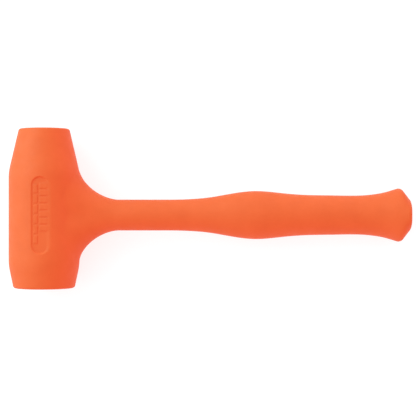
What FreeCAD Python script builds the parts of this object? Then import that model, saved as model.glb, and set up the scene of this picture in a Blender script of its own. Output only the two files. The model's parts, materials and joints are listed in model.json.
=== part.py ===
import FreeCAD, Part
import math
import os

# Dead blow mallet: a urethane casting over a steel canister of shot and a steel handle rod.
#
# It is modelled in tool axes, in millimetres. The origin is where the head's axis crosses the
# handle's axis, +X runs along the handle to the butt, +Y along the head to the small face, and
# +Z out of the head on the side with the panel. lay_down() then rests it on a bench.

Vector = FreeCAD.Vector
X_AXIS = Vector(1, 0, 0)
Y_AXIS = Vector(0, 1, 0)
Z_AXIS = Vector(0, 0, 1)
ORIGIN = Vector(0, 0, 0)

# Head
BARREL_R = 29.4
SMALL_FACE_R = 21.0
LARGE_FACE_R = 25.4
SMALL_FACE_Y = 72.1
LARGE_FACE_Y = -60.9
SMALL_SHOULDER_Y = 36.0
LARGE_SHOULDER_Y = -41.8
SMALL_EDGE_ROUND = 2.2
LARGE_EDGE_ROUND = 2.5
SMALL_SHOULDER_ROUND = 43.0
LARGE_SHOULDER_ROUND = 50.0

# Flare from the neck into the barrel, a superelliptic curve in height and in depth
NECK_HALF_HEIGHT = 12.9
NECK_HALF_DEPTH = 11.9
FLARE_START_X = 62.0
FLARE_LENGTH = 32.6
FLARE_HEIGHT = 26.0
FLARE_DEPTH = 7.0
FLARE_POWER = 1.7
FLARE_CUT_X = 36.0
FLARE_INNER_X = 14.0
FLARE_SECTIONS = 7
JUNCTION_ROUND = 16.0

# Grip: place along the handle, half height and half depth where its outline turns
NECK_END_X = 105.0
GRIP_OUTLINE = (
    (121.0, 13.3, 12.2),
    (137.4, 14.7, 13.5),
    (157.4, 18.1, 15.9),
    (177.0, 20.1, 17.3),
    (197.5, 18.5, 17.0),
    (217.6, 16.9, 16.2),
    (238.0, 16.5, 15.3),
    (257.0, 16.25, 14.9),
    (268.0, 16.6, 15.2),
    (277.7, 17.7, 16.0),
    (285.5, 19.3, 17.0),
)
RIM_START = (292.5, 21.4, 18.1)
RIM_HEIGHT_SLOPE = 0.31
RIM_DEPTH_SLOPE = 0.14
SECTION_SPACING = 7.0

# Butt: a rounded ridge at top and bottom, chamfered to the end. Its front and back keep
# widening in line with the rim as far as the rounded edge of the end
RIDGE_X = 297.6
RIDGE_ROUND = 4.6
BUTT_X = 305.2
BUTT_HALF_HEIGHT = 12.6
BUTT_ROUND = 3.0
BUTT_SECTIONS = 10

# Recessed panel along the barrel's crown, with plain raised bars in two columns
PANEL_WIDTH = 14.0
PANEL_LENGTH = 62.8
PANEL_FLOOR_Z = 27.8
BAR_HEIGHT = 0.5
BAR_ROUND = 0.6
WIDE_COLUMN_X = 2.6
WIDE_BAR_WIDTH = 5.6
WIDE_BAR_LENGTH = 4.4
WIDE_BAR_TOP_Y = 26.4
WIDE_BAR_PITCH = 5.8
WIDE_BARS = 7
SLIM_COLUMN_X = -3.6
SLIM_BAR_WIDTH = 3.0
SLIM_BAR_LENGTH = 6.6
SLIM_BAR_TOP_Y = 25.0
SLIM_BAR_PITCH = 8.3
SLIM_BARS = 6

# Steel canister in the head
TUBE_R = 19.05
TUBE_BORE_R = 16.65
TUBE_BOTTOM_Y = -42.4
TUBE_LENGTH = 96.0
CAP_FLANGE = 4.0
CAP_SPIGOT = 4.0
CAP_BEVEL = 1.0
CAP_WELD_WIDTH = 4.4
CAP_WELD_HEIGHT = 1.3

# Handle rod, its socket on the canister and the washers that key it into the grip
ROD_R = 4.75
ROD_START_X = 19.4
ROD_END_X = 286.0
ROD_END_BEVEL = 1.0
SOCKET_R = 10.0
SOCKET_BORE_R = 4.8
SOCKET_END_X = 42.0
SOCKET_WELD_R = 13.5
SOCKET_WELD_START_X = 12.0
SOCKET_WELD_END_X = 22.5
PIN_R = 2.0
PIN_X = 33.0
PIN_LENGTH = 22.0
WASHER_R = 10.5
WASHER_THICKNESS = 3.0
WASHER_ROUND = 0.5
GRIP_WASHER_X = 176.0
BUTT_WASHER_X = 279.0

# Loose shot: layers of balls, each a middle ball, an inner ring and an outer ring
SHOT_R = 3.25
SHOT_LAYERS = 10
SHOT_PITCH = 6.6
INNER_RING_R = 6.58
INNER_RING_COUNT = 6
OUTER_RING_COUNT = 12
SHOT_CLEARANCE = 0.3

# How near two points, or an edge and a surface, are taken to be the same
SAME_POINT = 1e-6
NEAR_BARREL = 0.1
NEAR_FLARE = 0.02

# Derived sizes
TUBE_TOP_Y = TUBE_BOTTOM_Y + TUBE_LENGTH
OUTER_RING_R = TUBE_BORE_R - SHOT_CLEARANCE - SHOT_R
SHOT_FLOOR_Y = TUBE_BOTTOM_Y + CAP_SPIGOT + SHOT_CLEARANCE
RIDGE_HALF_HEIGHT = RIM_START[1] + RIM_HEIGHT_SLOPE * (RIDGE_X - RIM_START[0])
BUTT_HALF_DEPTH = RIM_START[2] + RIM_DEPTH_SLOPE * (BUTT_X - RIM_START[0])
SHOT_TRAVEL = TUBE_LENGTH - 2 * (CAP_SPIGOT + SHOT_CLEARANCE) - (
    (SHOT_LAYERS - 1) * SHOT_PITCH + 2 * SHOT_R
)


def rounded_outline(corners):
    """A closed wire in the XY plane through (x, y, radius) corners, each with a tangent arc."""
    edges = []
    starts = []
    ends = []
    count = len(corners)
    for i, (x, y, radius) in enumerate(corners):
        here = Vector(x, y, 0)
        before = Vector(corners[i - 1][0], corners[i - 1][1], 0)
        after = Vector(corners[(i + 1) % count][0], corners[(i + 1) % count][1], 0)
        back = (before - here).normalize()
        on = (after - here).normalize()
        half_angle = back.getAngle(on) / 2
        reach = radius / math.tan(half_angle)
        start = here + back * reach
        end = here + on * reach
        if radius > 0:
            to_centre = (back + on).normalize()
            middle = here + to_centre * (radius / math.sin(half_angle) - radius)
            edges.append(Part.Arc(start, middle, end).toShape())
        starts.append(start)
        ends.append(end)
    for i in range(count):
        if ends[i].distanceToPoint(starts[(i + 1) % count]) > SAME_POINT:
            edges.append(Part.LineSegment(ends[i], starts[(i + 1) % count]).toShape())
    return Part.Wire(Part.__sortEdges__(edges))


def turned(outline, axis):
    """The solid made by turning a closed outline in the XY plane about an axis through the origin."""
    return Part.Face(outline).revolve(ORIGIN, axis, 360)


def tube_along(axis, start, length, outer_r, bore_r=0):
    """A cylinder, bored if bore_r is given, on an axis through the origin."""
    outer = Part.makeCylinder(outer_r, length, axis * start, axis)
    if bore_r == 0:
        return outer
    return outer.cut(Part.makeCylinder(bore_r, length, axis * start, axis))


def head_body():
    """The head as one turned shape: two cones, each blended into the barrel."""
    outline = rounded_outline(
        [
            (0, LARGE_FACE_Y, 0),
            (LARGE_FACE_R, LARGE_FACE_Y, LARGE_EDGE_ROUND),
            (BARREL_R, LARGE_SHOULDER_Y, LARGE_SHOULDER_ROUND),
            (BARREL_R, SMALL_SHOULDER_Y, SMALL_SHOULDER_ROUND),
            (SMALL_FACE_R, SMALL_FACE_Y, SMALL_EDGE_ROUND),
            (0, SMALL_FACE_Y, 0),
        ]
    )
    return turned(outline, Y_AXIS)


def flare_half_sizes(x):
    """Half height and half depth of the flare at x. Inside FLARE_CUT_X both run on in line."""
    along = max(x, FLARE_CUT_X)
    u = (FLARE_START_X - along) / FLARE_LENGTH
    rise = 1 - (1 - u**FLARE_POWER) ** (1 / FLARE_POWER)
    slope = (1 - u**FLARE_POWER) ** (1 / FLARE_POWER - 1) * u ** (FLARE_POWER - 1)
    rise_height = rise + slope * (along - x) / FLARE_LENGTH
    height = NECK_HALF_HEIGHT + FLARE_HEIGHT * rise_height
    depth = NECK_HALF_DEPTH + FLARE_DEPTH * rise_height
    return height, depth


def oval(x, height, depth):
    """An oval section across the handle at x, of the given half height and half depth."""
    circle = Part.Circle(Vector(x, 0, 0), X_AXIS, 1).toNurbs().toShape()
    stretch = FreeCAD.Matrix()
    stretch.scale(1, height, depth)
    return Part.Wire(circle.transformGeometry(stretch))


def flare():
    """The widening stretch between the neck and the barrel."""
    step = (FLARE_START_X - FLARE_CUT_X) / (FLARE_SECTIONS - 1)
    places = [FLARE_START_X - i * step for i in range(FLARE_SECTIONS)]
    outer = Part.makeLoft([oval(x, *flare_half_sizes(x)) for x in places], True, False)
    ends = [FLARE_CUT_X, FLARE_INNER_X]
    inner = Part.makeLoft([oval(x, *flare_half_sizes(x)) for x in ends], True, True)
    return outer.fuse(inner)


def grip_sections():
    """Place, half height and half depth of the sections from the neck to the butt's rim."""
    neck = Vector(NECK_END_X, NECK_HALF_HEIGHT, NECK_HALF_DEPTH)
    turns = [neck] + [Vector(*turn) for turn in GRIP_OUTLINE + (RIM_START,)]
    rim_direction = Vector(1, RIM_HEIGHT_SLOPE, RIM_DEPTH_SLOPE)
    curve = Part.BSplineCurve()
    curve.interpolate(Points=turns, InitialTangent=X_AXIS, FinalTangent=rim_direction)
    neck_steps = round((NECK_END_X - FLARE_START_X) / SECTION_SPACING)
    neck_step = (NECK_END_X - FLARE_START_X) / neck_steps
    sections = []
    for i in range(neck_steps):
        sections.append((FLARE_START_X + i * neck_step, NECK_HALF_HEIGHT, NECK_HALF_DEPTH))
    steps = round((RIM_START[0] - NECK_END_X) / SECTION_SPACING)
    sections += [tuple(point) for point in curve.discretize(Number=steps + 1)]
    return sections


def corner_arc(start, corner, end, radius):
    """Start, centre and end of the arc that rounds a corner of the line from start to end."""
    here = Vector(*corner, 0)
    back = (Vector(*start, 0) - here).normalize()
    on = (Vector(*end, 0) - here).normalize()
    half_angle = back.getAngle(on) / 2
    reach = radius / math.tan(half_angle)
    centre = here + (back + on).normalize() * (radius / math.sin(half_angle))
    return here + back * reach, centre, here + on * reach


def butt_half_height(x):
    """Half height of the butt at x: up the rim, over the ridge's arc and down the chamfer."""
    rim = (RIM_START[0], RIM_START[1])
    ridge = (RIDGE_X, RIDGE_HALF_HEIGHT)
    end = (BUTT_X, BUTT_HALF_HEIGHT)
    arc_start, centre, arc_end = corner_arc(rim, ridge, end, RIDGE_ROUND)
    if x <= arc_start.x:
        return RIM_START[1] + RIM_HEIGHT_SLOPE * (x - RIM_START[0])
    if x >= arc_end.x:
        chamfer_slope = (RIDGE_HALF_HEIGHT - BUTT_HALF_HEIGHT) / (BUTT_X - RIDGE_X)
        return BUTT_HALF_HEIGHT + chamfer_slope * (BUTT_X - x)
    return centre.y + math.sqrt(RIDGE_ROUND**2 - (x - centre.x) ** 2)


def butt_half_depth(x):
    """Half depth of the butt at x: straight on from the rim."""
    return RIM_START[2] + RIM_DEPTH_SLOPE * (x - RIM_START[0])


def butt_sections():
    """Place, half height and half depth of the sections past the rim."""
    step = (BUTT_X - RIM_START[0]) / BUTT_SECTIONS
    places = [RIM_START[0] + (i + 1) * step for i in range(BUTT_SECTIONS)]
    return [(x, butt_half_height(x), butt_half_depth(x)) for x in places]


def handle():
    """Neck, grip and butt as one smooth body of oval sections, with the end's edge rounded."""
    sections = grip_sections() + butt_sections()
    body = Part.makeLoft([oval(*section) for section in sections], True, False)
    end_edges = [edge for edge in body.Edges if edge.CenterOfMass.x > BUTT_X - SAME_POINT]
    return body.makeFillet(BUTT_ROUND, end_edges)


def slab(x, y, width, length, corner_round, z, height):
    """A block with rounded corners, centred on x and y, that stands on z."""
    half_w = width / 2
    half_l = length / 2
    corners = [
        (x - half_w, y - half_l, corner_round),
        (x + half_w, y - half_l, corner_round),
        (x + half_w, y + half_l, corner_round),
        (x - half_w, y + half_l, corner_round),
    ]
    face = Part.Face(rounded_outline(corners))
    face.translate(Z_AXIS * z)
    return face.extrude(Z_AXIS * height)


def panel_recess():
    """The round-ended recess, open towards +Z."""
    height = 2 * (BARREL_R - PANEL_FLOOR_Z)
    return slab(0, 0, PANEL_WIDTH, PANEL_LENGTH, PANEL_WIDTH / 2, PANEL_FLOOR_Z, height)


def panel_bars():
    """Two columns of plain raised bars on the recess's floor."""
    foot = PANEL_FLOOR_Z - BAR_HEIGHT
    rise = 2 * BAR_HEIGHT
    bars = []
    for i in range(WIDE_BARS):
        y = WIDE_BAR_TOP_Y - i * WIDE_BAR_PITCH - WIDE_BAR_LENGTH / 2
        bar = slab(WIDE_COLUMN_X, y, WIDE_BAR_WIDTH, WIDE_BAR_LENGTH, BAR_ROUND, foot, rise)
        bars.append(bar)
    for i in range(SLIM_BARS):
        y = SLIM_BAR_TOP_Y - i * SLIM_BAR_PITCH - SLIM_BAR_LENGTH / 2
        bar = slab(SLIM_COLUMN_X, y, SLIM_BAR_WIDTH, SLIM_BAR_LENGTH, BAR_ROUND, foot, rise)
        bars.append(bar)
    return bars


def junction_edges(body):
    """The edges where the flare leaves the barrel: their middles are on both surfaces."""
    found = []
    for edge in body.Edges:
        middle = edge.valueAt((edge.FirstParameter + edge.LastParameter) / 2)
        height, depth = flare_half_sizes(middle.x)
        off_barrel = math.hypot(middle.x, middle.z) - BARREL_R
        off_flare = math.hypot(middle.y / height, middle.z / depth) - 1
        on_both = abs(off_barrel) < NEAR_BARREL and abs(off_flare) < NEAR_FLARE
        if on_both and middle.x > FLARE_INNER_X:
            found.append(edge)
    return found


def casting_outside():
    """The outer shape of the urethane, with its panel."""
    body = head_body().fuse(flare())
    body = body.makeFillet(JUNCTION_ROUND, junction_edges(body))
    body = body.fuse(handle())
    body = body.cut(panel_recess())
    return body.fuse(panel_bars()).removeSplitter()


def canister_tube():
    return tube_along(Y_AXIS, TUBE_BOTTOM_Y, TUBE_LENGTH, TUBE_R, TUBE_BORE_R)


def canister_cap(mouth_y, outward):
    """A stepped plug. Its spigot fills the tube's end and its flange covers the tube's wall."""
    flange_y = mouth_y + outward * CAP_FLANGE
    spigot_y = mouth_y - outward * CAP_SPIGOT
    outline = rounded_outline(
        [
            (0, spigot_y, 0),
            (TUBE_BORE_R, spigot_y, 0),
            (TUBE_BORE_R, mouth_y, 0),
            (TUBE_R, mouth_y, 0),
            (TUBE_R, flange_y - outward * CAP_BEVEL, 0),
            (TUBE_R - CAP_BEVEL, flange_y, 0),
            (0, flange_y, 0),
        ]
    )
    return turned(outline, Y_AXIS)


def cap_weld(mouth_y):
    """A bead of weld round the seam between a cap and the tube."""
    half = CAP_WELD_WIDTH / 2
    low = Vector(TUBE_R, mouth_y - half, 0)
    high = Vector(TUBE_R, mouth_y + half, 0)
    crown = Vector(TUBE_R + CAP_WELD_HEIGHT, mouth_y, 0)
    edges = [Part.Arc(low, crown, high).toShape(), Part.LineSegment(high, low).toShape()]
    return turned(Part.Wire(edges), Y_AXIS)


def rod_socket():
    """A boss whose foot is cut to fit the side of the tube."""
    boss = tube_along(X_AXIS, 0, SOCKET_END_X, SOCKET_R, SOCKET_BORE_R)
    tube = tube_along(Y_AXIS, TUBE_BOTTOM_Y, TUBE_LENGTH, TUBE_R)
    hole = Part.makeCylinder(PIN_R, 4 * SOCKET_R, Vector(PIN_X, 0, -2 * SOCKET_R), Z_AXIS)
    return boss.cut(tube).cut(hole)


def rod_socket_weld():
    """The fillet of weld round the boss's foot."""
    length = SOCKET_WELD_END_X - SOCKET_WELD_START_X
    start = X_AXIS * SOCKET_WELD_START_X
    cone = Part.makeCone(SOCKET_WELD_R, SOCKET_R, length, start, X_AXIS)
    tube = tube_along(Y_AXIS, TUBE_BOTTOM_Y, TUBE_LENGTH, TUBE_R)
    boss = tube_along(X_AXIS, 0, SOCKET_END_X, SOCKET_R)
    return cone.cut(tube).cut(boss)


def handle_rod():
    """The steel bar from the canister's side to the butt, drilled for the cross pin."""
    outline = rounded_outline(
        [
            (ROD_START_X, 0, 0),
            (ROD_START_X, ROD_R, 0),
            (ROD_END_X - ROD_END_BEVEL, ROD_R, 0),
            (ROD_END_X, ROD_R - ROD_END_BEVEL, 0),
            (ROD_END_X, 0, 0),
        ]
    )
    hole = Part.makeCylinder(PIN_R, 4 * ROD_R, Vector(PIN_X, 0, -2 * ROD_R), Z_AXIS)
    return turned(outline, X_AXIS).cut(hole)


def socket_cross_pin():
    start = Vector(PIN_X, 0, -PIN_LENGTH / 2)
    return Part.makeCylinder(PIN_R, PIN_LENGTH, start, Z_AXIS)


def anchor_washer(middle_x):
    """A washer pressed on the rod."""
    start = middle_x - WASHER_THICKNESS / 2
    outline = rounded_outline(
        [
            (start, ROD_R, 0),
            (start, WASHER_R, WASHER_ROUND),
            (start + WASHER_THICKNESS, WASHER_R, WASHER_ROUND),
            (start + WASHER_THICKNESS, ROD_R, 0),
        ]
    )
    return turned(outline, X_AXIS)


def shot_layer(index):
    """One layer of balls. Every other layer is turned by half a ball."""
    y = SHOT_FLOOR_Y + SHOT_R + index * SHOT_PITCH
    balls = [Part.makeSphere(SHOT_R, Vector(0, y, 0))]
    rings = ((INNER_RING_COUNT, INNER_RING_R), (OUTER_RING_COUNT, OUTER_RING_R))
    for count, radius in rings:
        step = 2 * math.pi / count
        turn = step / 2 * (index % 2)
        for i in range(count):
            angle = turn + i * step
            centre = Vector(radius * math.cos(angle), y, radius * math.sin(angle))
            balls.append(Part.makeSphere(SHOT_R, centre))
    return Part.makeCompound(balls)


def steel_parts():
    """Every steel piece that the urethane is cast round, by name."""
    return {
        "canister_tube": canister_tube(),
        "canister_cap_small": canister_cap(TUBE_TOP_Y, 1),
        "canister_cap_large": canister_cap(TUBE_BOTTOM_Y, -1),
        "cap_weld_small": cap_weld(TUBE_TOP_Y),
        "cap_weld_large": cap_weld(TUBE_BOTTOM_Y),
        "rod_socket": rod_socket(),
        "rod_socket_weld": rod_socket_weld(),
        "socket_cross_pin": socket_cross_pin(),
        "handle_rod": handle_rod(),
        "grip_anchor_washer": anchor_washer(GRIP_WASHER_X),
        "butt_anchor_washer": anchor_washer(BUTT_WASHER_X),
    }


def urethane_casting(steel):
    """The casting, hollow exactly where the steel and the canister's inside are."""
    hollow = tube_along(Y_AXIS, TUBE_BOTTOM_Y, TUBE_LENGTH, TUBE_R)
    socket_bore = tube_along(X_AXIS, 0, SOCKET_END_X, SOCKET_BORE_R)
    filled = hollow.multiFuse([socket_bore] + list(steel.values()))
    return casting_outside().cut(filled)


def lay_down(shapes):
    """Tips the tool about Y until barrel and butt both touch the bench, then centres its footprint."""
    rim = (RIM_START[0], RIM_START[2])
    _, centre, _ = corner_arc(rim, (BUTT_X, BUTT_HALF_DEPTH), (BUTT_X, 0), BUTT_ROUND)
    crown_depth = centre.y + BUTT_ROUND
    reach = math.hypot(centre.x, crown_depth)
    tip = math.degrees(math.asin(BARREL_R / reach) - math.atan(crown_depth / centre.x))
    for shape in shapes.values():
        shape.rotate(ORIGIN, Y_AXIS, tip)
    box = shapes["urethane_casting"].optimalBoundingBox(False, False)
    shift = Vector(-(box.XMin + box.XMax) / 2, -(box.YMin + box.YMax) / 2, -box.ZMin)
    for shape in shapes.values():
        shape.translate(shift)
    return tip, shift


shapes = steel_parts()
shapes["urethane_casting"] = urethane_casting(shapes)
for layer in range(SHOT_LAYERS):
    shapes["shot_layer_%02d" % (layer + 1)] = shot_layer(layer)
tip, shift = lay_down(shapes)

os.makedirs("parts", exist_ok=True)
for name, shape in shapes.items():
    shape.exportStep("parts/%s.step" % name)
    facts = (name, shape.isValid(), len(shape.Solids), shape.Volume)
    print("%-20s valid %s solids %d volume %.0f" % facts)
print("tip %.4f degrees, shift %s, shot travel %.2f" % (tip, shift, SHOT_TRAVEL))
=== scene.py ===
import json
import math

import bmesh
import bpy
import numpy as np
from mathutils import Matrix, Vector


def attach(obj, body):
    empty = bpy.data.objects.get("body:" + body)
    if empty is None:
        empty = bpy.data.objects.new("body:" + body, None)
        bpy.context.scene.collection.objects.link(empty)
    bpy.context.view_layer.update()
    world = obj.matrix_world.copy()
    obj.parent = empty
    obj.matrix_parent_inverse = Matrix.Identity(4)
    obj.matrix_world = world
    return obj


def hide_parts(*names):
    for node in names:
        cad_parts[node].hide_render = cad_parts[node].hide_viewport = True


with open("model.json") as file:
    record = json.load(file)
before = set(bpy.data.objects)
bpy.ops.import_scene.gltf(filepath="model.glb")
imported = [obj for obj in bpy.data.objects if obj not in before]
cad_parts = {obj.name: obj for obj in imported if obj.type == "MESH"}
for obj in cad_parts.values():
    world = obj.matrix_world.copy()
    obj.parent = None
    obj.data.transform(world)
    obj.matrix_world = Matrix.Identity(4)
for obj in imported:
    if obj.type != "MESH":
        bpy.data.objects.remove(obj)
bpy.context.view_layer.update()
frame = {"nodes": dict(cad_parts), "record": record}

# One-piece urethane dead blow mallet. Shapes are worked out in tool axes, in millimetres: the
# origin is where the head's axis crosses the handle's axis, +X runs along the handle to the
# butt, +Y along the head to the small face and +Z out of the side with the panel. to_row()
# places them in the row frame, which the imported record's mounts fix.

MM = 0.001

# Head
BARREL_R = 29.4
SMALL_FACE_R = 21.0
LARGE_FACE_R = 25.4
SMALL_FACE_Y = 72.1
LARGE_FACE_Y = -60.9
SMALL_SHOULDER_Y = 36.0
LARGE_SHOULDER_Y = -41.8
SMALL_EDGE_ROUND = 2.2
LARGE_EDGE_ROUND = 2.5
SMALL_SHOULDER_ROUND = 43.0
LARGE_SHOULDER_ROUND = 50.0

# Flare between neck and barrel: how far it reaches along the handle, up the head and in depth
NECK_HALF_HEIGHT = 12.9
NECK_HALF_DEPTH = 11.9
NECK_RATIO = NECK_HALF_DEPTH / NECK_HALF_HEIGHT
FLARE_END_X = 62.0
FLARE_REACH = 32.6
FLARE_HEIGHT = 26.0
FLARE_DEPTH = 10.0
FLARE_POWER = 1.7
FLARE_MAX_Y = 45.0
FLARE_MAX_ANGLE = 75.0

# The flare's surface is looked for between JUST_INSIDE, a share of the neck's reach, and
# FLARE_SEARCH_R. It stands clear of the barrel where JUST_OUTSIDE, in millimetres, is within it
FLARE_SEARCH_R = 75.0
JUST_INSIDE = 0.999
JUST_OUTSIDE = 1e-6

# Grip: place along the handle, half height and half depth where its outline turns
NECK_END_X = 105.0
GRIP_OUTLINE = (
    (121.0, 13.3, 12.2),
    (137.4, 14.7, 13.5),
    (157.4, 18.1, 15.9),
    (177.0, 20.1, 17.3),
    (197.5, 18.5, 17.0),
    (217.6, 16.9, 16.2),
    (238.0, 16.5, 15.3),
    (257.0, 16.25, 14.9),
    (268.0, 16.6, 15.2),
    (277.7, 17.7, 16.0),
    (285.5, 19.3, 17.0),
)
RIM_START = (292.5, 21.4, 18.1)
RIM_HEIGHT_SLOPE = 0.31
RIM_DEPTH_SLOPE = 0.14

# Butt: a rounded ridge at top and bottom, chamfered to the end. Its front and back keep
# widening in line with the rim as far as the rounded edge of the end
RIDGE_X = 297.6
RIDGE_ROUND = 4.6
BUTT_X = 305.2
BUTT_HALF_HEIGHT = 12.6
BUTT_HALF_DEPTH = RIM_START[2] + RIM_DEPTH_SLOPE * (BUTT_X - RIM_START[0])
BUTT_ROUND = 3.0
BUTT_ROUND_START_X = BUTT_X - 1.3 * BUTT_ROUND

# Panel on the barrel, with plain raised bars in two columns
PANEL_WIDTH = 14.0
PANEL_LENGTH = 62.8
PANEL_FLOOR_Z = 27.8
PANEL_EDGE = 1.3
PANEL_LEAST_SINE = 0.5
BAR_HEIGHT = 0.5
BAR_ROUND = 0.6
BAR_EDGE = 0.45
WIDE_COLUMN = dict(x=2.6, width=5.6, length=4.4, top_y=26.4, pitch=5.8, count=7)
SLIM_COLUMN = dict(x=-3.6, width=3.0, length=6.6, top_y=25.0, pitch=8.3, count=6)

# Trimmed parting line, where the two halves of the mould met
PARTING_DEPTH = 0.12
PARTING_INNER = 0.4
PARTING_OUTER = 1.3

# Shot
SHOT_R = 3.25
SHOT_LAYERS = 10
SHOT_PITCH = 6.6
SHOT_FIRST_Y = -34.85
INNER_RING_R = 6.58
INNER_RING_COUNT = 6
OUTER_RING_R = 13.1
OUTER_RING_COUNT = 12
SHOT_DIMPLE = 0.03

# Mesh spacing, in millimetres and degrees. FINE_SPACING is for outlines that sizes are read from
FINE_SPACING = 0.1
RING_SPACING = 1.5
PANEL_ROW_SPACING = 0.35
PANEL_ROWS_Y = 32.9
ARC_STEP = 7.0
HOLE_ANGLE = 30.0
HOLE_Y = 20.0
FLARE_ROWS = 24
BUTT_RINGS = 14
BUTT_ROUND_RINGS = 6
BALL_LINES = 20
BALL_ROWS = 12
COLUMN_STRIDE = 3
BISECTIONS = 48

mounts = {mount["name"]: mount for mount in frame["record"]["mounts"]}
TOOL_X = np.array(mounts["neck_clip_seat"]["axis"], float)
TOOL_X /= np.linalg.norm(TOOL_X)
TOOL_Y = np.array((0.0, 1.0, 0.0))
TOOL_Z = np.cross(TOOL_X, TOOL_Y)
TOOL_AXES = np.array((TOOL_X, TOOL_Y, TOOL_Z))
TOOL_ORIGIN = np.array(mounts["strike_face_small"]["pos_m"]) - TOOL_Y * SMALL_FACE_Y * MM


def to_row(points):
    """Points in tool axes and millimetres, as points of the row frame in metres."""
    return TOOL_ORIGIN + np.asarray(points, float) @ TOOL_AXES * MM


def smooth_step(value):
    """0 below 0, 1 above 1, and a smooth rise between."""
    t = np.clip(value, 0, 1)
    return t * t * (3 - 2 * t)


def unit(vector):
    return vector / np.linalg.norm(vector)


# Outlines


def rounded_outline(corners, spacing):
    """Points along a line through (a, b, radius) corners, with a tangent arc at each radius."""
    points = [np.array(corners[0][:2], float)]

    def straight_to(end):
        steps = max(1, math.ceil(np.linalg.norm(end - points[-1]) / spacing))
        points.extend(np.linspace(points[-1], end, steps + 1)[1:])

    for before, corner, after in zip(corners, corners[1:], corners[2:]):
        here = np.array(corner[:2], float)
        back = unit(np.array(before[:2]) - here)
        on = unit(np.array(after[:2]) - here)
        half_angle = math.acos(back @ on) / 2
        reach = corner[2] / math.tan(half_angle)
        centre = here + unit(back + on) * corner[2] / math.sin(half_angle)
        straight_to(here + back * reach)
        from_centre = points[-1] - centre
        turn = math.pi - 2 * half_angle
        if back[0] * on[1] > back[1] * on[0]:
            turn = -turn
        steps = math.ceil(max(abs(turn) / math.radians(ARC_STEP), abs(turn) * corner[2] / spacing))
        for angle in np.linspace(0, turn, steps + 1)[1:]:
            c = math.cos(angle)
            s = math.sin(angle)
            turned = (from_centre[0] * c - from_centre[1] * s, from_centre[0] * s + from_centre[1] * c)
            points.append(centre + np.array(turned))
    straight_to(np.array(corners[-1][:2], float))
    return np.array(points)


def clamped_spline(x, y, first_slope, last_slope):
    """A cubic spline through (x, y) with the given end slopes, as a function."""
    x = np.array(x, float)
    y = np.array(y, float)
    gap = np.diff(x)
    chord = np.diff(y) / gap
    count = len(x)
    matrix = np.zeros((count, count))
    right = np.zeros(count)
    matrix[0, 0] = matrix[-1, -1] = 1
    right[0] = first_slope
    right[-1] = last_slope
    for i in range(1, count - 1):
        matrix[i, i - 1 : i + 2] = (gap[i], 2 * (gap[i - 1] + gap[i]), gap[i - 1])
        right[i] = 3 * (gap[i] * chord[i - 1] + gap[i - 1] * chord[i])
    slope = np.linalg.solve(matrix, right)

    def evaluate(place):
        i = np.clip(np.searchsorted(x, place) - 1, 0, count - 2)
        t = (place - x[i]) / gap[i]
        rise = gap[i] * (slope[i] * t * (1 - t) ** 2 - slope[i + 1] * t * t * (1 - t))
        return y[i] * (1 + 2 * t) * (1 - t) ** 2 + y[i + 1] * t * t * (3 - 2 * t) + rise

    return evaluate


HEAD_CORNERS = (
    (0, SMALL_FACE_Y, 0),
    (SMALL_FACE_R, SMALL_FACE_Y, SMALL_EDGE_ROUND),
    (BARREL_R, SMALL_SHOULDER_Y, SMALL_SHOULDER_ROUND),
    (BARREL_R, LARGE_SHOULDER_Y, LARGE_SHOULDER_ROUND),
    (LARGE_FACE_R, LARGE_FACE_Y, LARGE_EDGE_ROUND),
    (0, LARGE_FACE_Y, 0),
)
head_outline = rounded_outline(HEAD_CORNERS, RING_SPACING)
grip_turns = np.array(((NECK_END_X, NECK_HALF_HEIGHT, NECK_HALF_DEPTH), *GRIP_OUTLINE, RIM_START))
grip_height = clamped_spline(grip_turns[:, 0], grip_turns[:, 1], 0, RIM_HEIGHT_SLOPE)
grip_depth = clamped_spline(grip_turns[:, 0], grip_turns[:, 2], 0, RIM_DEPTH_SLOPE)


RIDGE_CORNERS = (
    (RIM_START[0], RIM_START[1], 0),
    (RIDGE_X, RIM_START[1] + RIM_HEIGHT_SLOPE * (RIDGE_X - RIM_START[0]), RIDGE_ROUND),
    (BUTT_X, BUTT_HALF_HEIGHT, 0),
)
ridge_outline = rounded_outline(RIDGE_CORNERS, FINE_SPACING)


def butt_height(x):
    """Half height of the butt at x: up the rim, over the ridge's arc and down the chamfer."""
    return np.interp(x, ridge_outline[:, 0], ridge_outline[:, 1])


def butt_depth(x):
    """Half depth of the butt at x: straight on from the rim."""
    return RIM_START[2] + RIM_DEPTH_SLOPE * (x - RIM_START[0])


def side_radius(y):
    """The head's radius at y, away from its two end faces."""
    fine = rounded_outline(HEAD_CORNERS, FINE_SPACING)
    below_small_edge = fine[:, 1] < SMALL_FACE_Y - SMALL_EDGE_ROUND
    above_large_edge = fine[:, 1] > LARGE_FACE_Y + LARGE_EDGE_ROUND
    side = fine[below_small_edge & above_large_edge]
    return np.interp(y, side[::-1, 1], side[::-1, 0])


def head_rings():
    """Radius and y of each ring of the head, from the small face to the large one."""
    above = head_outline[head_outline[:, 1] > PANEL_ROWS_Y + RING_SPACING / 2]
    below = head_outline[head_outline[:, 1] < -PANEL_ROWS_Y - RING_SPACING / 2]
    rows = round(2 * PANEL_ROWS_Y / PANEL_ROW_SPACING)
    y = np.linspace(PANEL_ROWS_Y, -PANEL_ROWS_Y, rows + 1)
    middle = np.column_stack((side_radius(y), y))
    return np.vstack((above[1:], middle, below[:-1]))


def head_angles():
    """Angles about the head's axis, from +X towards +Z, of the lines of the head's mesh."""
    stretches = (
        (-30, -2, 2.15),
        (-2, 2, 0.6),
        (2, 30, 2.15),
        (30, 79.5, 2.75),
        (79.5, 116, 0.5),
        (116, 178.2, 3.1),
        (178.2, 181.8, 0.6),
        (181.8, 330, 3.1),
    )
    found = []
    for start, end, step in stretches:
        found.extend(np.linspace(start, end, round((end - start) / step) + 1)[:-1])
    return np.array(found)


# Surfaces


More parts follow.
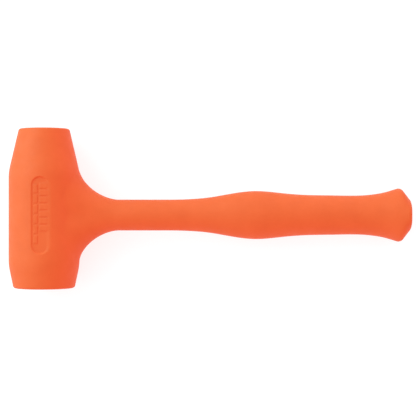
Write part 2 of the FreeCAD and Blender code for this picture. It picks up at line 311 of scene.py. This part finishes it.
def within_flare(x, y, z):
    """Above 0 inside the flare's blend of barrel and neck, below 0 outside it."""
    off_barrel = np.hypot(x, z) - side_radius(y)
    off_neck = np.hypot(y, z / NECK_RATIO) - NECK_HALF_HEIGHT
    round_neck = np.arctan2(z / NECK_RATIO, y)
    reach = np.hypot(FLARE_HEIGHT * np.cos(round_neck), FLARE_DEPTH * np.sin(round_neck))
    near_barrel = np.maximum(0, 1 - off_barrel / FLARE_REACH) ** FLARE_POWER
    near_neck = np.maximum(0, 1 - off_neck / reach) ** FLARE_POWER
    return near_barrel + near_neck - 1


def solve_out(inside, low, high):
    """The distance between low and high at which inside() falls to 0, by halving."""
    for _ in range(BISECTIONS):
        middle = (low + high) / 2
        within = inside(middle) > 0
        low = np.where(within, middle, low)
        high = np.where(within, high, middle)
    return low


def bars_level(x, y):
    """How high the panel's floor stands at x and y, with the bars on it."""
    level = np.zeros(np.broadcast(x, y).shape)
    for column in (WIDE_COLUMN, SLIM_COLUMN):
        for i in range(column["count"]):
            middle_y = column["top_y"] - i * column["pitch"] - column["length"] / 2
            off_x = np.abs(x - column["x"]) - column["width"] / 2 + BAR_ROUND
            off_y = np.abs(y - middle_y) - column["length"] / 2 + BAR_ROUND
            outside = np.hypot(np.maximum(off_x, 0), np.maximum(off_y, 0))
            off = outside + np.minimum(np.maximum(off_x, off_y), 0) - BAR_ROUND
            level = np.maximum(level, smooth_step(0.5 - off / BAR_EDGE))
    return PANEL_FLOOR_Z + BAR_HEIGHT * level


def with_panel(radius, angle, y):
    """The head's radius with the round-ended panel sunk into it, round the angle pi / 2."""
    x = radius * np.cos(angle)
    past_end = np.maximum(0, np.abs(y) - (PANEL_LENGTH - PANEL_WIDTH) / 2)
    off = np.hypot(x, past_end) - PANEL_WIDTH / 2
    sunk = smooth_step(0.5 - off / PANEL_EDGE) * (np.sin(angle) > 0)
    rise = np.maximum(np.sin(angle), PANEL_LEAST_SINE)
    floor_x = PANEL_FLOOR_Z * np.cos(angle) / rise
    floor = bars_level(floor_x, y) / rise
    return radius + sunk * (np.minimum(floor, radius) - radius)


def parting_drop(z):
    """How far the surface is dressed down beside the parting line, whose crest is left alone."""
    return PARTING_DEPTH * (np.exp(-((z / PARTING_OUTER) ** 2)) - np.exp(-((z / PARTING_INNER) ** 2)))


def barrel_radius(angle, y, plain):
    """The head's radius at each angle and y, with the flare, the panel and the parting line."""
    near = (np.cos(angle) > math.cos(math.radians(FLARE_MAX_ANGLE))) & (np.abs(y) < FLARE_MAX_Y)

    def inside(distance):
        return within_flare(distance * np.cos(angle), y, distance * np.sin(angle))

    flared = solve_out(inside, plain * np.ones_like(angle), np.full(angle.shape, FLARE_SEARCH_R))
    radius = np.where(near & (inside(plain + JUST_OUTSIDE) > 0), flared, plain)
    radius = with_panel(radius, angle, y)
    return radius - parting_drop(radius * np.sin(angle))


# Mesh building


def mesh_object(name, points, faces, flat_from=None):
    """A smooth-shaded mesh in the row frame. Faces from index flat_from on are flat."""
    mesh = bpy.data.meshes.new(name)
    mesh.from_pydata([tuple(p) for p in points], [], faces)
    smooth = np.ones(len(mesh.polygons), bool)
    if flat_from is not None:
        smooth[flat_from:] = False
    mesh.polygons.foreach_set("use_smooth", smooth)
    mesh.update()
    made = bpy.data.objects.new(name, mesh)
    bpy.context.scene.collection.objects.link(made)
    return made


def strip(first, second, skip=()):
    """Quads between two closed rings of vertex numbers."""
    count = len(first)
    return [
        (first[i], first[(i + 1) % count], second[(i + 1) % count], second[i])
        for i in range(count)
        if i not in skip
    ]


def head_mesh():
    """The head's points in tool axes, its faces, and the loop of vertices that the handle starts at."""
    rings = head_rings()
    angles = np.radians(head_angles())
    row_count = len(rings)
    line_count = len(angles)
    hole_lines = int(np.argmin(np.abs(angles - math.radians(HOLE_ANGLE))))
    on_side = np.abs(rings[:, 1]) <= HOLE_Y
    first_row = int(np.argmax(on_side))
    last_row = row_count - 1 - int(np.argmax(on_side[::-1]))

    angle, plain = np.meshgrid(angles, rings[:, 0])
    y = np.repeat(rings[:, 1:], line_count, axis=1)
    side = (rings[:, 1] < SMALL_FACE_Y - SMALL_EDGE_ROUND) & (rings[:, 1] > LARGE_FACE_Y + LARGE_EDGE_ROUND)
    radius = plain.copy()
    radius[side] = barrel_radius(angle[side], y[side], plain[side])
    points = np.stack((radius * np.cos(angle), y, radius * np.sin(angle)), axis=2).reshape(-1, 3)
    small_pole = len(points)
    large_pole = small_pole + 1
    points = np.vstack((points, (0, SMALL_FACE_Y, 0), (0, LARGE_FACE_Y, 0)))

    number = np.arange(row_count * line_count).reshape(row_count, line_count).tolist()
    faces = []
    for row in range(row_count - 1):
        skip = range(hole_lines) if first_row <= row < last_row else ()
        faces += strip(number[row], number[row + 1], skip)
    for i in range(line_count):
        after = (i + 1) % line_count
        faces.append((small_pole, number[0][after], number[0][i]))
        faces.append((large_pole, number[-1][i], number[-1][after]))

    top = number[first_row][: hole_lines + 1]
    right = [number[row][hole_lines] for row in range(first_row + 1, last_row)]
    bottom = number[last_row][: hole_lines + 1][::-1]
    left = [number[row][0] for row in range(last_row - 1, first_row, -1)]
    loop = top + right + bottom + left
    kept = list(range(len(top)))
    kept += range(len(top) + COLUMN_STRIDE - 1, len(top) + len(right) - 1, COLUMN_STRIDE)
    kept += range(len(top) + len(right), len(top) + len(right) + len(bottom))
    start = len(top) + len(right) + len(bottom)
    kept += range(start + COLUMN_STRIDE - 1, start + len(left) - 1, COLUMN_STRIDE)
    return points, faces, loop, kept


def oval_reach(around, height, depth):
    """How far an oval of the given half height and half depth reaches at an angle about the handle."""
    return 1 / np.hypot(np.cos(around) / height, np.sin(around) / depth)


def butt_edge(around):
    """Places and reaches of the arcs that round the butt's end, one arc for each angle."""
    end = oval_reach(around, BUTT_HALF_HEIGHT, BUTT_HALF_DEPTH)
    before_x = BUTT_X - FINE_SPACING
    before = oval_reach(around, butt_height(before_x), butt_depth(before_x))
    lean = np.arctan2(before - end, FINE_SPACING)
    reach = BUTT_ROUND / np.tan(math.pi / 4 + lean / 2)
    centre_x = BUTT_X - BUTT_ROUND
    centre_reach = end - reach
    rings = []
    for turn in np.linspace(0, 1, BUTT_ROUND_RINGS):
        angle = (math.pi / 2 - lean) * (1 - turn)
        x = centre_x + BUTT_ROUND * np.cos(angle)
        rings.append((x, centre_reach + BUTT_ROUND * np.sin(angle)))
    return rings


def handle_rings(from_points):
    """Rings of points from the head's opening along flare, neck, grip and butt."""
    around = np.arctan2(from_points[:, 2], from_points[:, 1])
    start_x = from_points[:, 0]
    rings = []
    for t in np.arange(1, FLARE_ROWS) / FLARE_ROWS:
        x = start_x + (FLARE_END_X - start_x) * t

        def inside(distance):
            return within_flare(x, distance * np.cos(around), distance * np.sin(around))

        low = JUST_INSIDE * oval_reach(around, NECK_HALF_HEIGHT, NECK_HALF_DEPTH)
        rings.append((x, solve_out(inside, low, np.full(x.shape, FLARE_SEARCH_R))))
    neck = np.linspace(FLARE_END_X, NECK_END_X, round((NECK_END_X - FLARE_END_X) / RING_SPACING) + 1)
    grip = np.linspace(NECK_END_X, RIM_START[0], round((RIM_START[0] - NECK_END_X) / RING_SPACING) + 1)
    butt = np.linspace(RIM_START[0], BUTT_ROUND_START_X, BUTT_RINGS + 1)
    lengths = [(neck, lambda x: NECK_HALF_HEIGHT, lambda x: NECK_HALF_DEPTH)]
    lengths += [(grip[1:], grip_height, grip_depth), (butt[1:], butt_height, butt_depth)]
    for places, height, depth in lengths:
        for x in places:
            rings.append((np.full(around.shape, x), oval_reach(around, height(x), depth(x))))
    made = []
    for x, reach in rings:
        reach = reach - parting_drop(reach * np.sin(around))
        made.append(np.column_stack((x, reach * np.cos(around), reach * np.sin(around))))
    for x, reach in butt_edge(around):
        made.append(np.column_stack((x, reach * np.cos(around), reach * np.sin(around))))
    return made


def cavity_mesh():
    """The casting's inner walls, as packed: its mesh without the outside."""
    work = bmesh.new()
    work.from_mesh(frame["nodes"]["urethane_casting"].data)
    bmesh.ops.remove_doubles(work, verts=work.verts, dist=1e-7)
    outermost = max(work.verts, key=lambda v: v.co.x)
    outside = {outermost}
    waiting = [outermost]
    while waiting:
        for edge in waiting.pop().link_edges:
            for vertex in edge.verts:
                if vertex not in outside:
                    outside.add(vertex)
                    waiting.append(vertex)
    bmesh.ops.delete(work, geom=list(outside), context="VERTS")
    work.verts.index_update()
    points = np.array([v.co[:] for v in work.verts]).reshape(-1, 3)
    faces = [[v.index for v in face.verts] for face in work.faces]
    work.free()
    return points, faces


def build_casting():
    """The urethane: head, flare, neck, grip and butt as one skin, and the cavity's walls."""
    points, faces, loop, kept = head_mesh()
    rings = handle_rings(points[[loop[i] for i in kept]])
    count = len(kept)
    base = len(points)
    numbers = [list(range(base + i * count, base + (i + 1) * count)) for i in range(len(rings))]
    points = np.vstack([points] + rings)
    for i in range(count):
        after = (i + 1) % count
        end = kept[after] if after else len(loop)
        span = [loop[j % len(loop)] for j in range(kept[i], end + 1)]
        faces.append(tuple(span + [numbers[0][after], numbers[0][i]]))
    for first, second in zip(numbers, numbers[1:]):
        faces += strip(first, second)
    pole = len(points)
    points = np.vstack((points, (BUTT_X, 0, 0)))
    faces += [(numbers[-1][i], numbers[-1][(i + 1) % count], pole) for i in range(count)]

    used = np.unique(np.concatenate([np.array(face) for face in faces]))
    renumber = np.full(len(points), -1)
    renumber[used] = np.arange(len(used))
    faces = [tuple(int(renumber[v]) for v in face) for face in faces]
    skin_points = to_row(points[used])
    skin_faces = len(faces)
    inner_points, inner_faces = cavity_mesh()
    faces += [tuple(v + len(skin_points) for v in face) for face in inner_faces]
    return mesh_object("casting", np.vstack((skin_points, inner_points)), faces, skin_faces)


def ball_mesh(rng):
    """Points and faces of one steel ball, a little dimpled as cast shot is."""
    phase = rng.uniform(0, 2 * math.pi, 3)
    points = []
    for row in range(1, BALL_ROWS):
        up = math.pi * row / BALL_ROWS
        for line in range(BALL_LINES):
            round_angle = 2 * math.pi * line / BALL_LINES
            direction = np.array(
                (
                    math.sin(up) * math.cos(round_angle),
                    math.sin(up) * math.sin(round_angle),
                    math.cos(up),
                )
            )
            points.append(direction)
    points += [np.array((0, 0, 1.0)), np.array((0, 0, -1.0))]
    points = np.array(points)
    waves = np.sin(points * 5 + phase).prod(axis=1)
    points = points * (SHOT_R - SHOT_DIMPLE * (1 + waves))[:, None]
    numbers = np.arange((BALL_ROWS - 1) * BALL_LINES).reshape(-1, BALL_LINES).tolist()
    top = len(points) - 2
    bottom = top + 1
    faces = []
    for first, second in zip(numbers, numbers[1:]):
        faces += strip(second, first)
    for i in range(BALL_LINES):
        after = (i + 1) % BALL_LINES
        faces.append((top, numbers[0][i], numbers[0][after]))
        faces.append((bottom, numbers[-1][after], numbers[-1][i]))
    return points, faces


def build_shot_layer(index, rng):
    """One layer of loose shot. Every other layer is turned by half a ball."""
    y = SHOT_FIRST_Y + index * SHOT_PITCH
    centres = [(0, y, 0)]
    for count, radius in ((INNER_RING_COUNT, INNER_RING_R), (OUTER_RING_COUNT, OUTER_RING_R)):
        step = 2 * math.pi / count
        for i in range(count):
            angle = step * (i + 0.5 * (index % 2))
            centres.append((radius * math.cos(angle), y, radius * math.sin(angle)))
    points = []
    faces = []
    for centre in centres:
        ball_points, ball_faces = ball_mesh(rng)
        base = len(points)
        points.extend(ball_points + np.array(centre))
        faces += [tuple(v + base for v in face) for face in ball_faces]
    return mesh_object(f"shot_balls_{index + 1:02d}", to_row(points), faces)


# Materials

HALF_RIPPLE = 1 / 150  # of the way round the head's axis


class Nodes:
    """A new material's node tree, with short calls to add and join nodes."""

    def __init__(self, name, roughness=0.5, metallic=0.0, specular=0.5):
        self.material = bpy.data.materials.new(name)
        self.material.use_nodes = True
        self.tree = self.material.node_tree
        self.shader = self.tree.nodes["Principled BSDF"]
        self.shader.inputs["Roughness"].default_value = roughness
        self.shader.inputs["Metallic"].default_value = metallic
        self.shader.inputs["Specular IOR Level"].default_value = specular
        self.place = self.add("ShaderNodeTexCoord").outputs["Object"]

    def add(self, kind, **settings):
        node = self.tree.nodes.new(kind)
        for key, value in settings.items():
            setattr(node, key, value)
        return node

    def join(self, output, target):
        self.tree.links.new(output, target)

    def stretched(self, scale, location=(0, 0, 0), rotation=(0, 0, 0)):
        node = self.add("ShaderNodeMapping")
        node.inputs["Location"].default_value = location
        node.inputs["Rotation"].default_value = rotation
        node.inputs["Scale"].default_value = scale
        self.join(self.place, node.inputs["Vector"])
        return node.outputs["Vector"]

    def noise(self, scale, detail=2.0, roughness=0.5, place=None):
        node = self.add("ShaderNodeTexNoise")
        node.inputs["Scale"].default_value = scale
        node.inputs["Detail"].default_value = detail
        node.inputs["Roughness"].default_value = roughness
        self.join(place or self.place, node.inputs["Vector"])
        return node.outputs["Fac"]

    def ramp(self, value, stops):
        node = self.add("ShaderNodeValToRGB")
        elements = node.color_ramp.elements
        while len(elements) < len(stops):
            elements.new(0.5)
        for element, (position, colour) in zip(elements, stops):
            element.position = position
            element.color = (*colour, 1)
        self.join(value, node.inputs["Fac"])
        return node.outputs["Color"]

    def spread(self, value, low, high, from_low=0.3, from_high=0.7):
        node = self.add("ShaderNodeMapRange")
        node.inputs["From Min"].default_value = from_low
        node.inputs["From Max"].default_value = from_high
        node.inputs["To Min"].default_value = low
        node.inputs["To Max"].default_value = high
        self.join(value, node.inputs["Value"])
        return node.outputs["Result"]

    def bump(self, height, depth, strength, under=None):
        node = self.add("ShaderNodeBump")
        node.inputs["Distance"].default_value = depth
        node.inputs["Strength"].default_value = strength
        self.join(height, node.inputs["Height"])
        if under:
            self.join(under, node.inputs["Normal"])
        return node.outputs["Normal"]

    def finish(self, colour, roughness, normal):
        self.join(colour, self.shader.inputs["Base Color"])
        self.join(roughness, self.shader.inputs["Roughness"])
        self.join(normal, self.shader.inputs["Normal"])
        return self.material


def urethane():
    """Blaze-orange cast urethane: even, satin, with a faint cloudiness and a fine mould texture."""
    nodes = Nodes("urethane_orange", specular=0.25)
    cloud = nodes.noise(55, detail=4, roughness=0.55)
    colour = nodes.ramp(
        cloud,
        [(0.25, (0.87, 0.091, 0.017)), (0.5, (0.90, 0.098, 0.019)), (0.78, (0.93, 0.105, 0.022))],
    )
    grain = nodes.noise(1900, detail=3, roughness=0.6)
    patches = nodes.noise(160, detail=3)
    roughness = nodes.spread(patches, 0.50, 0.62)
    waviness = nodes.bump(patches, 0.0004, 0.12)
    normal = nodes.bump(grain, 0.0001, 0.25, under=waviness)
    return nodes.finish(colour, roughness, normal)


def drawn_steel(name, dark, light, along, rough_low, rough_high):
    """Steel with fine streaks along one row axis, mill marks and a little staining."""
    nodes = Nodes(name, metallic=1.0)
    scale = [1.0 if axis == along else 28.0 for axis in range(3)]
    streaks = nodes.noise(90, detail=5, roughness=0.65, place=nodes.stretched(scale))
    stains = nodes.noise(70, detail=4, roughness=0.6)
    colour_mix = nodes.add("ShaderNodeMix", data_type="RGBA", blend_type="MULTIPLY")
    colour_mix.inputs["Factor"].default_value = 0.6
    nodes.join(nodes.ramp(streaks, [(0.3, dark), (0.7, light)]), colour_mix.inputs["A"])
    tint = nodes.ramp(stains, [(0.35, (0.72, 0.68, 0.63)), (0.6, (1, 1, 1))])
    nodes.join(tint, colour_mix.inputs["B"])
    roughness = nodes.spread(stains, rough_high, rough_low)
    normal = nodes.bump(streaks, 0.0001, 0.3)
    return nodes.finish(colour_mix.outputs["Result"], roughness, normal)


def weld_metal():
    """Weld bead: ripples across the run, and heat tint."""
    nodes = Nodes("weld_bead", metallic=1.0)
    round_head = nodes.stretched(
        (1, 1, 1), location=tuple(-TOOL_ORIGIN), rotation=(math.radians(90), 0, 0)
    )
    sweep = nodes.add("ShaderNodeTexGradient", gradient_type="RADIAL")
    nodes.join(round_head, sweep.inputs["Vector"])
    ripple = nodes.add("ShaderNodeMath", operation="PINGPONG")
    ripple.inputs[1].default_value = HALF_RIPPLE
    nodes.join(sweep.outputs["Fac"], ripple.inputs[0])
    heat = nodes.noise(260, detail=4, roughness=0.6)
    colour = nodes.ramp(
        heat,
        [(0.3, (0.10, 0.09, 0.09)), (0.5, (0.24, 0.19, 0.15)), (0.7, (0.33, 0.33, 0.36))],
    )
    beads = nodes.bump(nodes.spread(ripple.outputs[0], 0, 1, 0, HALF_RIPPLE), 0.0005, 0.7)
    normal = nodes.bump(heat, 0.0002, 0.4, under=beads)
    return nodes.finish(colour, nodes.spread(heat, 0.35, 0.6), normal)


def shot_metal():
    """Cast steel shot: dull grey, pitted, with darker oxide in places."""
    nodes = Nodes("steel_shot", metallic=1.0)
    oxide = nodes.noise(420, detail=4, roughness=0.6)
    pits = nodes.noise(2200, detail=2)
    colour = nodes.ramp(oxide, [(0.35, (0.13, 0.12, 0.12)), (0.65, (0.42, 0.42, 0.44))])
    normal = nodes.bump(pits, 0.0001, 0.35)
    return nodes.finish(colour, nodes.spread(oxide, 0.55, 0.32), normal)


def dress(piece, material):
    piece.data.materials.clear()
    piece.data.materials.append(material)


ALONG_X = 0
ALONG_Y = 1
TUBE_METAL = drawn_steel("tube_steel", (0.22, 0.22, 0.23), (0.52, 0.52, 0.54), ALONG_Y, 0.3, 0.5)
CAP_METAL = drawn_steel("cap_steel", (0.30, 0.30, 0.31), (0.58, 0.58, 0.60), ALONG_X, 0.25, 0.42)
ROD_METAL = drawn_steel("rod_steel", (0.34, 0.34, 0.35), (0.62, 0.62, 0.63), ALONG_X, 0.24, 0.4)
PIN_METAL = drawn_steel("pin_steel", (0.38, 0.38, 0.40), (0.68, 0.68, 0.70), ALONG_Y, 0.2, 0.34)
WELD_METAL = weld_metal()
SHOT_METAL = shot_metal()

# Pieces

casting = build_casting()
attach(casting, "mallet")
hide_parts("urethane_casting")
dress(casting, urethane())

shot_rng = np.random.default_rng(7)
for layer in range(SHOT_LAYERS):
    balls = build_shot_layer(layer, shot_rng)
    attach(balls, "shot_charge")
    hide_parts(f"shot_layer_{layer + 1:02d}")
    dress(balls, SHOT_METAL)

for node, material, slot in (
    ("canister_tube", TUBE_METAL, "canister_steel"),
    ("canister_cap_small", CAP_METAL, "canister_steel"),
    ("canister_cap_large", CAP_METAL, "canister_steel"),
    ("cap_weld_small", WELD_METAL, "weld_steel"),
    ("cap_weld_large", WELD_METAL, "weld_steel"),
    ("rod_socket", CAP_METAL, "rod_steel"),
    ("rod_socket_weld", WELD_METAL, "weld_steel"),
    ("socket_cross_pin", PIN_METAL, "rod_steel"),
    ("handle_rod", ROD_METAL, "rod_steel"),
    ("grip_anchor_washer", PIN_METAL, "rod_steel"),
    ("butt_anchor_washer", PIN_METAL, "rod_steel"),
):
    dress(frame["nodes"][node], material)

# Floor, light and camera. The camera, and the key's direction and distance, are in tool axes and
# millimetres. The floor's and the key's sizes are in metres

FLOOR_HALF = 12.0
FLOOR_GLOW = 0.76
FLOOR_WHITENESS = 0.3
CAMERA_AT = (136.9, 5.9, 1100.0)
LENS = 113.9
KEY_DIRECTION = (-0.80, 0.42, 0.50)
KEY_DISTANCE = 900.0
KEY_SIZE = 0.8
KEY_WATTS = 3.6
EVEN_LIGHT = (1.0, 0.75, 0.78)
EVEN_STRENGTH = 0.83
SIDE_LIGHT = (0.2, 1.0, 0.98)
SIDE_FROM_ABOVE = 0.66
SIDE_FROM_LEFT = 0.68
SIDE_SLANT = 0.50
SLANT_SPAN = 1.4
HORIZON_STRENGTH = 1.38
HORIZON_LOW = 0.11
HORIZON_HIGH = 0.20


def facing_matrix(at, toward, up):
    """The placing of a lamp or camera at a point, looking toward another."""
    back = Vector(at - toward).normalized()
    side = Vector(up).cross(back).normalized()
    matrix = Matrix((side, back.cross(side), back)).transposed().to_4x4()
    matrix.translation = Vector(at)
    return matrix


def build_floor():
    mesh = bpy.data.meshes.new("floor")
    half = FLOOR_HALF
    mesh.from_pydata(
        [(-half, -half, 0), (half, -half, 0), (half, half, 0), (-half, half, 0)], [], [(0, 1, 2, 3)]
    )
    floor = bpy.data.objects.new("floor", mesh)
    bpy.context.scene.collection.objects.link(floor)
    nodes = Nodes("floor_pale", roughness=0.9, specular=0.0)
    nodes.shader.inputs["Base Color"].default_value = (FLOOR_WHITENESS, FLOOR_WHITENESS, FLOOR_WHITENESS, 1)
    nodes.shader.inputs["Emission Color"].default_value = (1, 1, 1, 1)
    nodes.shader.inputs["Emission Strength"].default_value = FLOOR_GLOW
    mesh.materials.append(nodes.material)


def build_world():
    """Soft surroundings: warm even light, bright at the horizon, and cooler light from one side."""
    world = bpy.data.worlds.new("studio")
    bpy.context.scene.world = world
    world.use_nodes = True
    tree = world.node_tree
    even = tree.nodes["Background"]
    even.inputs["Color"].default_value = (*EVEN_LIGHT, 1)
    side = tree.nodes.new("ShaderNodeBackground")
    side.inputs["Color"].default_value = (*SIDE_LIGHT, 1)
    place = tree.nodes.new("ShaderNodeTexCoord")
    parts = tree.nodes.new("ShaderNodeSeparateXYZ")
    tree.links.new(place.outputs["Generated"], parts.inputs["Vector"])

    def spread(value, from_low, from_high, to_low, to_high):
        node = tree.nodes.new("ShaderNodeMapRange")
        node.inputs["From Min"].default_value = from_low
        node.inputs["From Max"].default_value = from_high
        node.inputs["To Min"].default_value = to_low
        node.inputs["To Max"].default_value = to_high
        tree.links.new(value, node.inputs["Value"])
        return node.outputs["Result"]

    def combine(operation, first, second):
        node = tree.nodes.new("ShaderNodeMath")
        node.operation = operation
        tree.links.new(first, node.inputs[0])
        tree.links.new(second, node.inputs[1])
        return node.outputs[0]

    x = parts.outputs["X"]
    y = parts.outputs["Y"]
    above = spread(y, 0, 1, 0, SIDE_FROM_ABOVE)
    left = spread(x, -1, 0, SIDE_FROM_LEFT, 0)
    slant = spread(combine("SUBTRACT", y, x), -SLANT_SPAN, SLANT_SPAN, 0, SIDE_SLANT)
    tree.links.new(combine("ADD", combine("ADD", above, left), slant), side.inputs["Strength"])
    horizon = spread(parts.outputs["Z"], HORIZON_LOW, HORIZON_HIGH, HORIZON_STRENGTH, EVEN_STRENGTH)
    tree.links.new(horizon, even.inputs["Strength"])
    both = tree.nodes.new("ShaderNodeAddShader")
    tree.links.new(even.outputs[0], both.inputs[0])
    tree.links.new(side.outputs[0], both.inputs[1])
    tree.links.new(both.outputs[0], tree.nodes["World Output"].inputs["Surface"])


def build_key():
    """One large softbox, beyond the head and towards the small face."""
    lamp = bpy.data.lights.new("key_softbox", "AREA")
    lamp.shape = "SQUARE"
    lamp.size = KEY_SIZE
    lamp.energy = KEY_WATTS
    lamp.color = SIDE_LIGHT
    key = bpy.data.objects.new("key_softbox", lamp)
    bpy.context.scene.collection.objects.link(key)
    middle = to_row((CAMERA_AT[0], 0, 0))
    at = to_row(np.array((CAMERA_AT[0], 0, 0)) + unit(np.array(KEY_DIRECTION)) * KEY_DISTANCE)
    key.matrix_world = facing_matrix(at, middle, (0, 0, 1))


def build_camera():
    camera = bpy.data.objects.new("camera", bpy.data.cameras.new("camera"))
    bpy.context.scene.collection.objects.link(camera)
    camera.data.sensor_width = 36
    camera.data.lens = LENS
    camera.data.clip_start = 0.05
    camera.data.clip_end = 50
    foot = to_row((CAMERA_AT[0], CAMERA_AT[1], 0))
    camera.matrix_world = facing_matrix(to_row(CAMERA_AT), foot, (0, 1, 0))
    bpy.context.scene.camera = camera


build_floor()
build_world()
build_key()
build_camera()
bpy.context.scene.view_settings.view_transform = "Standard"
